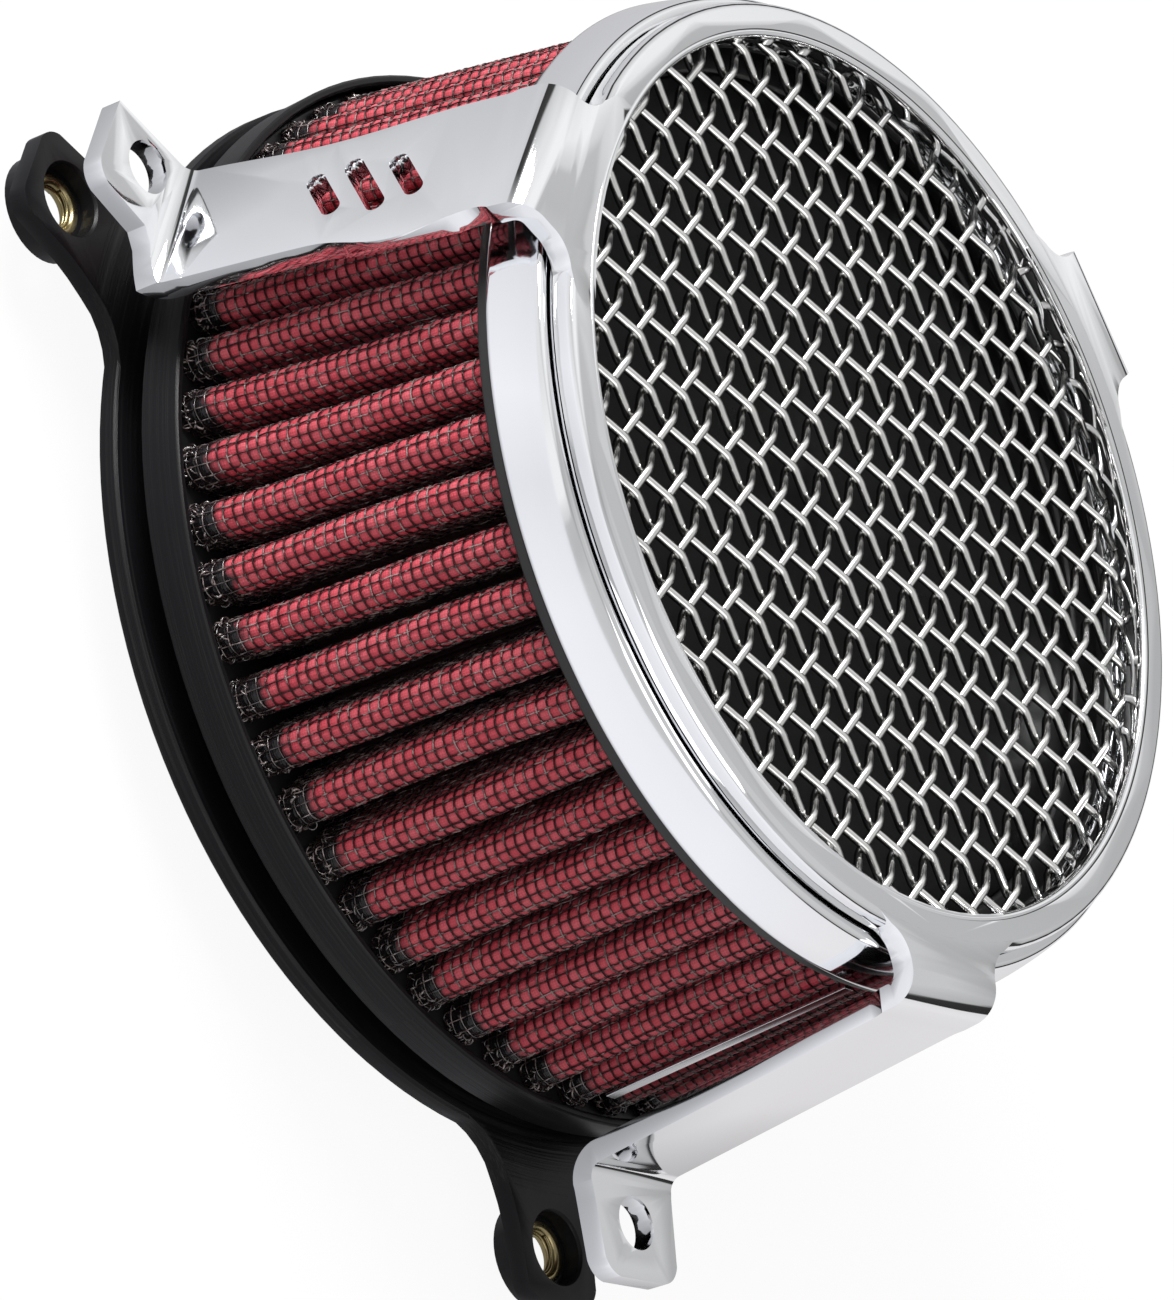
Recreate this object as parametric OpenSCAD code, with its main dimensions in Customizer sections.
// Round clamped air filter for a motorcycle intake.
// +Z is the filter axis, from the engine side (Z = 0, rear of the gasket) towards
// the open wire screen. The lead lug and the slotted lead arm are on +Y; the other
// two lugs and arms follow at 120 degrees.

/* [Cover] */
// Height of the cover ring's front face above the gasket's rear face
face_z = 77; // [76:0.5:78]
// Bore diameter of the cover ring
ring_bore_d = 118; // [117.6:0.1:118.4]
// Thickness of the cover ring, arms and tabs
plate_t = 3; // [2.8:0.1:3.2]
// Width of the two plain arms
arm_w = 17; // [15:0.5:19]
// Width of the lead arm at its ends
lead_arm_w = 20.2; // [18:0.2:21]
// Swell on one edge of the lead arm
lead_swell = 2.1; // [0:0.1:3]
// Sideways offset of the lead arm from its tab hole
lead_offset = 5; // [2:0.5:5]
// Lean of the arms away from the filter axis, in degrees
arm_lean = 9; // [8.5:0.25:9.5]
// Diameter of the screw hole in each tab
tab_hole_d = 7.2; // [6.4:0.1:7.6]
// Length of the longest slanted slot in the lead arm
slot_len = 12; // [7:0.5:13]

/* [Screen] */
// Wire diameter of the front screen
wire_d = 1.2; // [0.8:0.05:1.2]
// Spacing of the wires
wire_pitch = 5.1; // [4.2:0.1:6]
// Direction of the warp wires, in degrees from +X
weave_angle = 80; // [60:1:100]

/* [Element] */
// Number of pleats
pleats = 56; // [52:1:57]
// Outside radius of the pleats at the rear end
pleat_r = 70.3; // [69.8:0.1:70.4]
// Radius at the root of the pleats at the rear end
root_r = 55.5; // [55:0.5:58]
// Ratio of the front end of the element to its rear end
taper = 0.924; // [0.92:0.001:0.926]
// Width of one pleat at its crown
pleat_w = 4.7; // [4.2:0.1:4.8]

/* [Backplate] */
// Radius of the rear flange
flange_r = 72.5; // [72:0.1:73]
// Radius of the raised collar around the element
collar_r = 72.7; // [72.5:0.1:73.2]
// Screw circle diameter of the lugs and tabs
lug_pcd = 173; // [172:0.5:174]
// Thread bore diameter of the lug inserts
thread_d = 6; // [5:0.1:6.4]
// Diameter of the counterbore in each lug
counterbore_d = 9.7; // [9:0.1:10.4]
// Throat diameter of the bell mouth
throat_d = 42; // [38:0.5:43]
// Screw circle diameter of the intake mounting holes
intake_pcd = 62; // [60:0.5:62]
// Diameter of the intake mounting holes
intake_hole_d = 6.6; // [5.4:0.1:6.8]
// Distance between the two breather holes
breather_span = 88; // [88:0.5:89]
// Diameter of the breather holes
breather_d = 11; // [9:0.1:11]

/* [Hidden] */
$fn = 96;

bore_r = ring_bore_d / 2;
ring_r = bore_r + 4.8;
lug_r = lug_pcd / 2;
thread_r = thread_d / 2;
throat_r = throat_d / 2;

lug_angles = [90, 210, 330];
mount_angles = [30, 150, 270];
bell_screw_angles = [90, 210, 330];

gasket_t = 1;                // the hub stands on the gasket's front face
boss_back = 5;               // rear face of the lug bosses
plate_back = 7;              // rear face of the flange
insert_top = 7.4;            // floor of the lug counterbores
plate_front = 10;            // front face of the flange and the lugs
web_back = 10.7;             // rear face of the web between hub and flange
cup_floor = 14;              // floor of the collar's recess
bell_flange_front = 16;      // front face of the bell mouth's flange
cup_top = 20.5;              // top edge of the collar
edge_chamfer = 0.5;          // lead-in of counterbores and threads

insert_r = 4.18;
pad_r = 8;                   // pads round the breather holes
seal_r = 60.5;               // centre radius of the base seal
seal_channel_w = 3.4;

media_z = 18.55;
media_h = face_z - 13.25 - media_z;
outer_screen_r = pleat_r + 0.5;

// ---- helpers --------------------------------------------------------------

function arc(cx, cy, radius, start, end, steps) =
    [for (i = [0:steps])
        let (angle = start + (end - start) * i / steps)
        [cx + radius * cos(angle), cy + radius * sin(angle)]];
function reversed(list) = [for (i = [len(list) - 1:-1:0]) list[i]];
// points scaled by the signs [x, y], in reverse order to close an outline
function reflected(points, signs) =
    [for (p = reversed(points)) [p.x * signs.x, p.y * signs.y]];
// [radius, z] points measured from the cover ring's front face
function at_face(points) = [for (p = points) [p.x, face_z + p.y]];
// smooth hump, 1 at t = 0 and 0 from t = -1 and t = 1 outwards
function bump(t) = abs(t) >= 1 ? 0 : (1 + cos(180 * t)) / 2;

module around(angles, radius)
    for (angle = angles) rotate(angle) translate([radius, 0, 0]) children();

module at_lugs() around(lug_angles, lug_r) children();

module at_breathers()
    for (side = [-1, 1]) translate([side * breather_span / 2, 0, 0]) children();

module mounting_holes(z, height)
    around(mount_angles, intake_pcd / 2)
        translate([0, 0, z]) cylinder(d = intake_hole_d, h = height);

// ring-shaped cutter that makes room for the base seal
module seal_channel(z, height) translate([0, 0, z]) difference() {
    cylinder(r = seal_r + seal_channel_w / 2, h = height);
    translate([0, 0, -1]) cylinder(r = seal_r - seal_channel_w / 2, h = height + 2);
}

// ---- backplate ------------------------------------------------------------

// half outline of one lug, from the flange out to the rounded tip:
// [distance from the filter axis, half width]
lug_half = concat(
    [[64.2, 25.6], [66.6, 23.6], [68.6, 19.4], [70.4, 15.7], [72, 13], [73.6, 11.2],
     [75.6, 9.8], [78.2, 8.9], [81, 8.1], [84, 7.55], [87.6, 7.35]],
    arc(lug_r + 4, 3.6, 3.7, 74, 10, 8));

// [radius, z] of the hub, web, flange and collar, turned in one piece
backplate_profile = [
    // hub
    [throat_r + 3, gasket_t], [40, gasket_t], [41.5, gasket_t + 1.5],
    // web
    [41.5, web_back - 0.5], [42, web_back], [62.5, web_back], [63, web_back - 0.5],
    // flange
    [63, plate_back], [flange_r - 0.4, plate_back], [flange_r, plate_back + 0.4],
    [flange_r, plate_front - 0.4], [flange_r - 0.4, plate_front], [66.5, plate_front],
    // collar
    [66.5, cup_floor], [collar_r - 0.7, cup_floor], [collar_r - 0.4, cup_floor + 0.3],
    [collar_r, cup_top - 0.35], [collar_r - 0.3, cup_top], [71.75, cup_top],
    [71.45, cup_top - 0.3], [71.45, cup_floor], [throat_r + 3, cup_floor]];

module lug_plates()
    for (angle = lug_angles) rotate(angle) translate([0, 0, plate_back + 0.3])
        linear_extrude(plate_front - plate_back - 0.3)
            polygon(concat(lug_half, reflected(lug_half, [1, -1])));

// boss behind each lug, with a short rib towards the flange
module lug_bosses() {
    boss_h = 2.5;
    rib_step = 0.4;
    at_lugs() {
        translate([0, 0, boss_back]) cylinder(r = 7.1, h = boss_h);
        translate([-17, -2, boss_back + rib_step]) cube([12, 4, boss_h - rib_step]);
    }
}

module rear_ribs() {
    rib = [22.5, 2.8, 6];
    around([30:60:330], 41) translate([0, -rib.y / 2, 5.5]) cube(rib);
}

// counterbore and insert bore of each lug
module lug_bores() at_lugs() {
    translate([0, 0, insert_top]) cylinder(d = counterbore_d, h = 10);
    translate([0, 0, -1]) cylinder(r = insert_r + 0.02, h = 12);
    translate([0, 0, plate_front - 0.35])
        cylinder(r1 = counterbore_d / 2, r2 = counterbore_d / 2 + edge_chamfer, h = 0.5);
}

module backplate() color([0.05, 0.05, 0.055]) difference() {
    union() {
        rotate_extrude($fn = 180) polygon(backplate_profile);
        lug_plates();
        lug_bosses();
        rear_ribs();
        at_breathers() translate([0, 0, gasket_t]) cylinder(r = pad_r, h = 10);
    }
    lug_bores();
    mounting_holes(-1, 30);
    at_breathers() translate([0, 0, -1]) cylinder(d = breather_d, h = 30);
    around(bell_screw_angles, intake_pcd / 2) translate([0, 0, 8]) cylinder(r = 2.02, h = 20);
    seal_channel(cup_floor - 1.6, 3);
}

module lug_inserts() color([0.72, 0.6, 0.32]) at_lugs() difference() {
    translate([0, 0, boss_back]) cylinder(r = insert_r, h = insert_top - boss_back);
    translate([0, 0, -1]) cylinder(d = thread_d, h = 12);
    // lead-in at both ends of the thread
    translate([0, 0, insert_top - 0.35])
        cylinder(r1 = thread_r, r2 = thread_r + edge_chamfer, h = 0.5);
    translate([0, 0, boss_back - 0.15])
        cylinder(r1 = thread_r + edge_chamfer, r2 = thread_r, h = 0.5);
}

// ---- intake ---------------------------------------------------------------

module intake_bellmouth() color([0.7, 0.71, 0.73]) {
    tube_r = throat_r + 2.95;
    flange_back = cup_floor + 0.02;
    flange_edge_r = 37.5;
    flare_z = 22;            // where the throat starts to open out
    difference() {
        rotate_extrude($fn = 144) polygon(concat(
            [[throat_r, gasket_t + 0.05], [tube_r, gasket_t + 0.05], [tube_r, flange_back],
             [flange_edge_r - 0.4, flange_back], [flange_edge_r, cup_floor + 0.4],
             [flange_edge_r, bell_flange_front - 0.4], [flange_edge_r - 0.4, bell_flange_front],
             [throat_r + 3, bell_flange_front], [throat_r + 1.6, bell_flange_front + 1.4]],
            // outer wall of the flare, rolled rim, then back down the bore
            arc(throat_r + 5.2, flare_z, 3.6, 180, 112, 8),
            arc(throat_r + 4.3, flare_z + 4, 0.9, -60, 110, 8),
            reversed(arc(throat_r + 5, flare_z, 5, 180, 112, 8))));
        mounting_holes(5, 12);
        around(bell_screw_angles, intake_pcd / 2)
            translate([0, 0, 5]) cylinder(r = 2.3, h = 12);
    }
}

module bellmouth_screws() color([0.55, 0.56, 0.58]) {
    head_r = 3.3;
    head_back = bell_flange_front + 0.03;
    head_front = bell_flange_front + 2;
    round_r = 1.4;           // rounding of the head's front edge
    around(bell_screw_angles, intake_pcd / 2) difference() {
        union() {
            translate([0, 0, 8.6]) cylinder(r = 1.98, h = 8);
            rotate_extrude($fn = 48) polygon(concat(
                [[0, head_back], [head_r, head_back]],
                arc(head_r - round_r, head_front - round_r, round_r, 0, 90, 5),
                [[0, head_front]]));
        }
        // hexagon socket
        translate([0, 0, head_front - 1.1]) cylinder(r = 1.25, h = 3, $fn = 6);
    }
}

module intake_gasket() color([0.32, 0.3, 0.27]) difference() {
    cylinder(r = 39.5, h = gasket_t);
    translate([0, 0, -1]) cylinder(r = throat_r + 1, h = 3);
    mounting_holes(-1, 4);
    at_breathers() translate([0, 0, -1]) cylinder(r = pad_r + 0.4, h = 4);
}

module base_seal() color([0.08, 0.08, 0.08]) translate([0, 0, cup_floor - 0.05])
    rotate_extrude($fn = 144) translate([seal_r, -0.05]) circle(r = 1.45, $fn = 32);

// ---- filter element -------------------------------------------------------

module rear_cap() color([0.06, 0.06, 0.06]) difference() {
    rotate_extrude($fn = 180) polygon([
        [50.6, cup_floor + 0.1], [70.4, cup_floor + 0.1], [71, cup_floor + 0.7],
        [71.2, cup_floor + 1.6], [71.2, 18.1], [70.8, 18.5], [52.2, 18.5],
        [51.6, 19.6], [50.9, 19.6], [50.6, 19.2]]);
    seal_channel(cup_floor - 2, 3.5);
}

// one pleat: the root, the straight flank, the rounded crown and the other flank
function pleat_points(index, crown, root, width) =
    let (pitch = 360 / pleats,
         half = width / 2,
         // [radius, distance along the arc from the pleat's centre line]
         stations = [
             [root, -pitch / 2 * PI / 180 * root],
             [root + 1.1, -half - 0.2], [crown - 7, -half - 0.1], [crown - 2.2, -half],
             [crown - 1.0, -half + 0.45], [crown - 0.28, -half * 0.55], [crown, 0],
             [crown - 0.28, half * 0.55], [crown - 1.0, half - 0.45],
             [crown - 2.2, half], [crown - 7, half + 0.1], [root + 1.1, half + 0.2]])
    [for (s = stations)
        let (angle = index * pitch + s[1] / s[0] * 180 / PI)
        [s[0] * cos(angle), s[0] * sin(angle)]];

function pleat_ring(crown, root, width) =
    [for (i = [0:pleats - 1]) each pleat_points(i, crown, root, width)];

module pleated_sheet(crown, root, width, thickness) translate([0, 0, media_z])
    linear_extrude(media_h, scale = taper) difference() {
        polygon(pleat_ring(crown, root, width));
        polygon(pleat_ring(crown - thickness, root - thickness * 1.6, width - 2 * thickness));
    }

module pleated_media() color([0.62, 0.1, 0.13])
    pleated_sheet(pleat_r, root_r, pleat_w, 0.8);

module outer_screen() color([0.06, 0.06, 0.06])
    pleated_sheet(outer_screen_r, root_r + 0.6, pleat_w + 0.9, 0.35);

module inner_screen() color([0.08, 0.08, 0.08])
    pleated_sheet(pleat_r - 1.0, root_r - 1.7, pleat_w - 1.9, 0.35);

module front_cap() color([0.05, 0.05, 0.05]) rotate_extrude($fn = 180) polygon(at_face([
    [53, -13.2], [65.9, -13.2], [66.5, -12.7], [66.5, -11.4], [66.1, -11], [65.95, -10.95],
    [64.9, -5.6], [64.4, -5.05], [63.2, -5], [63.2, -9.6], [62.4, -10.2], [57.9, -10.2],
    [57.5, -10.6], [57.5, -12.15], [53, -12.15]]));

// disc with a low dome at its centre
module end_plate() color([0.04, 0.04, 0.045]) rotate_extrude($fn = 144) polygon(at_face([
    [0, -9.9], [3, -10], [6, -10.35], [9, -10.8], [13, -11], [50, -11], [52, -10.7],
    [57.2, -10.7], [57.4, -10.9], [57.4, -12.1], [0, -12.1]]));

// the band's side leans in 14 degrees and is barely crowned, with a tight shoulder
// and a narrow flat top that tucks under the cover ring
module front_band() color([0.85, 0.86, 0.88])
    rotate_extrude($fn = 240) polygon(at_face(concat(
        [[66.25, -10.9], [67.05, -10.9]],
        arc(19.39, -19.14, 48.6, 10, 18, 6),
        arc(64.754, -4.398, 0.9, 30, 90, 5),
        [[63.25, -3.498], [63.25, -4.3], [64.55, -4.35], [64.8, -4.6], [66.35, -10.5]])));

// thin strip that follows the slope of the outer screen
module seam_clip() color([0.8, 0.8, 0.82]) {
    slope = atan2((1 - taper) * outer_screen_r, media_h);
    rotate(206.5) translate([outer_screen_r + 0.25, 0, media_z]) rotate([0, -slope, 0])
        rotate([-1.5, 0, 0]) translate([0, -1, 6]) cube([0.45, 1.8, media_h - 6.6]);
}

// ---- cover ----------------------------------------------------------------

// side profile of one arm: flat shoulder, round bend, leaning bar, tab
module arm_side() {
    tab_back = 20;
    tab_front = tab_back + plate_t;
    upper_r = plate_t + 1.2;     // outside radius of the upper bend
    upper_x = 67.75;
    upper_z = face_z - upper_r;
    // the lower bend's centre is on the far side of the bar, above the tab
    lower_r = 2;                 // inside radius of the lower bend
    lower_z = tab_front + lower_r;
    bar_len = (upper_z + (upper_r + lower_r) * sin(arm_lean) - lower_z) / cos(arm_lean);
    lower_x = upper_x + (upper_r + lower_r) * cos(arm_lean) + bar_len * sin(arm_lean);
    // the underside rises a hair where it runs into the ring
    root_z = face_z - plate_t + 0.06;
    polygon(concat(
        [[55, face_z]],
        arc(upper_x, upper_z, upper_r, 90, arm_lean, 12),
        arc(lower_x, lower_z, lower_r, 180 + arm_lean, 270, 8),
        [[100, tab_front], [100, tab_back]],
        reversed(arc(lower_x, lower_z, lower_r + plate_t, 180 + arm_lean, 270, 12)),
        reversed(arc(upper_x, upper_z, upper_r - plate_t, 90, arm_lean, 6)),
        [[66, face_z - plate_t], [64.4, root_z], [55, root_z]]));
}

// outline of one side seen along the filter axis: edge is the bar's edge on this
// side, swell its bulge; the tab is centred on the screw hole
function plan_side(edge, swell) =
    let (fillet = 5,             // radius between the ring and the arm
         y = edge + 0.6 + fillet,
         x = sqrt((ring_r + fillet) * (ring_r + fillet) - y * y),
         start = 188 + atan2(y, x))
    concat(
        [[50, edge],
         [x + fillet * cos(start) + 3 * sin(start) - 0.9,
          y + fillet * sin(start) - 3 * cos(start)]],
        arc(x, y, fillet, start, 264, 8),
        // the bar, then the narrowing to the tab
        [[70.6, edge + 0.5], [73.2, edge + 0.4],
         [74.2, edge + 0.5 + swell * 1.2], [77.6, edge + 0.4 + swell * 1.2],
         [79.8, edge + 0.3], [81, edge * 0.65 + 8.3 * 0.35 + 0.2],
         [82.3, edge * 0.25 + 8.3 * 0.75], [84, 8.2], [88, 7.9]],
        arc(lug_r + 4.1, 4.2, 3.55, 74, 8, 8));

// outline of one side seen from outside, [sideways, z]: the bar's edge with a
// shallow hollow and a swell, then the flare into the ring
function front_side(edge, swell, hollow) =
    let (foot = 18, top = face_z - 8, steps = 28, flare = 4.5)
    concat(
        [for (i = [0:steps])
            let (z = foot + i * (top - foot) / steps)
            [edge - hollow * bump((z - face_z + 33) / 22)
                  + swell * bump((z - face_z + 19.5) / 12), z]],
        arc(edge + flare, face_z - 7.6, flare, 180, 92, 8),
        [[edge + 16, face_z - plate_t - 0.07], [edge + 16, face_z + 1]]);

// an arm whose bar stands off sideways from the tab hole
module arm(width, swell = 0, offset_y = 0) {
    left = width / 2 + offset_y;
    right = width / 2 - offset_y;
    intersection() {
        rotate([90, 0, 0]) translate([0, 0, -30]) linear_extrude(60) arm_side();
        linear_extrude(face_z + 5)
            polygon(concat(plan_side(left, swell), reflected(plan_side(right, 0), [1, -1])));
        translate([50, 0, 0]) rotate([90, 0, 90]) linear_extrude(60) polygon(concat(
            front_side(left, swell, swell * 0.15),
            reflected(front_side(right, 0, swell * 0.6), [-1, 1])));
    }
}

module round_slot(length, width) {
    for (end = [-1, 1]) translate([end * (length - width) / 2, 0, 0])
        cylinder(d = width, h = 30, $fn = 32);
    translate([(width - length) / 2, -width / 2, 0]) cube([length - width, width, 30]);
}

// three slanted slots through the lead arm, the middle one longest
module lead_slots()
    rotate(lug_angles[0]) for (i = [-1:1])
        translate([60, lead_offset + 0.6, face_z - 25.5 + i * 6])
            rotate([0, 90, 0]) rotate(-58) round_slot(slot_len - abs(i) * 2.8, 2.7);

// flat ring with a rounded rim and a thin lip behind it, round the screen
module cover_ring() {
    edge_r = 1.1;
    lip_in_r = 61.95;
    lip_out_r = 62.75;
    lip_z = -7.4;
    rotate_extrude($fn = 240) polygon(at_face(concat(
        [[bore_r, -0.5], [bore_r + 0.15, -0.15], [bore_r + 0.5, 0]],
        arc(ring_r - edge_r, -edge_r, edge_r, 90, 0, 6),
        [[ring_r, -plate_t], [lip_out_r, -plate_t], [lip_out_r, lip_z],
         [lip_in_r, lip_z], [lip_in_r, -plate_t], [bore_r, -plate_t]])));
}

module cover_frame() color([0.86, 0.87, 0.88]) difference() {
    union() {
        cover_ring();
        rotate(lug_angles[0]) arm(lead_arm_w, lead_swell, lead_offset);
        for (i = [1, 2]) rotate(lug_angles[i]) arm(arm_w);
    }
    // clear the bore and the screw holes
    translate([0, 0, face_z - 8]) cylinder(r = bore_r, h = 12, $fn = 240);
    at_lugs() translate([0, 0, 10]) cylinder(d = tab_hole_d, h = 20);
    lead_slots();
}

// ---- screen ---------------------------------------------------------------

// parallel wires trimmed to the screen's circle
module wires(z, angle) {
    screen_r = 61.6;
    translate([0, 0, z]) rotate(angle) for (i = [-11:11]) {
        y = i * wire_pitch;
        edge = abs(y) + wire_d / 2;
        half = edge < screen_r ? sqrt(screen_r * screen_r - edge * edge) : 0;
        if (half > 8)
            translate([-half, y, 0]) rotate([0, 90, 0])
                cylinder(d = wire_d, h = 2 * half, $fn = 24);
    }
}

module screen_warp() color([0.8, 0.8, 0.8]) wires(face_z - plate_t - 0.7, weave_angle);

module screen_weft() color([0.74, 0.74, 0.74])
    wires(face_z - plate_t - 1.95, weave_angle + 90);

module screen_retainer() color([0.6, 0.6, 0.62]) rotate_extrude($fn = 180) polygon(at_face([
    [59.6, -6.9], [59.8, -7.2], [61.9, -7.2], [61.9, -5.65], [59.6, -5.65]]));

backplate();
lug_inserts();
intake_bellmouth();
bellmouth_screws();
intake_gasket();
base_seal();
rear_cap();
pleated_media();
outer_screen();
inner_screen();
front_cap();
end_plate();
front_band();
seam_clip();
cover_frame();
screen_warp();
screen_weft();
screen_retainer();
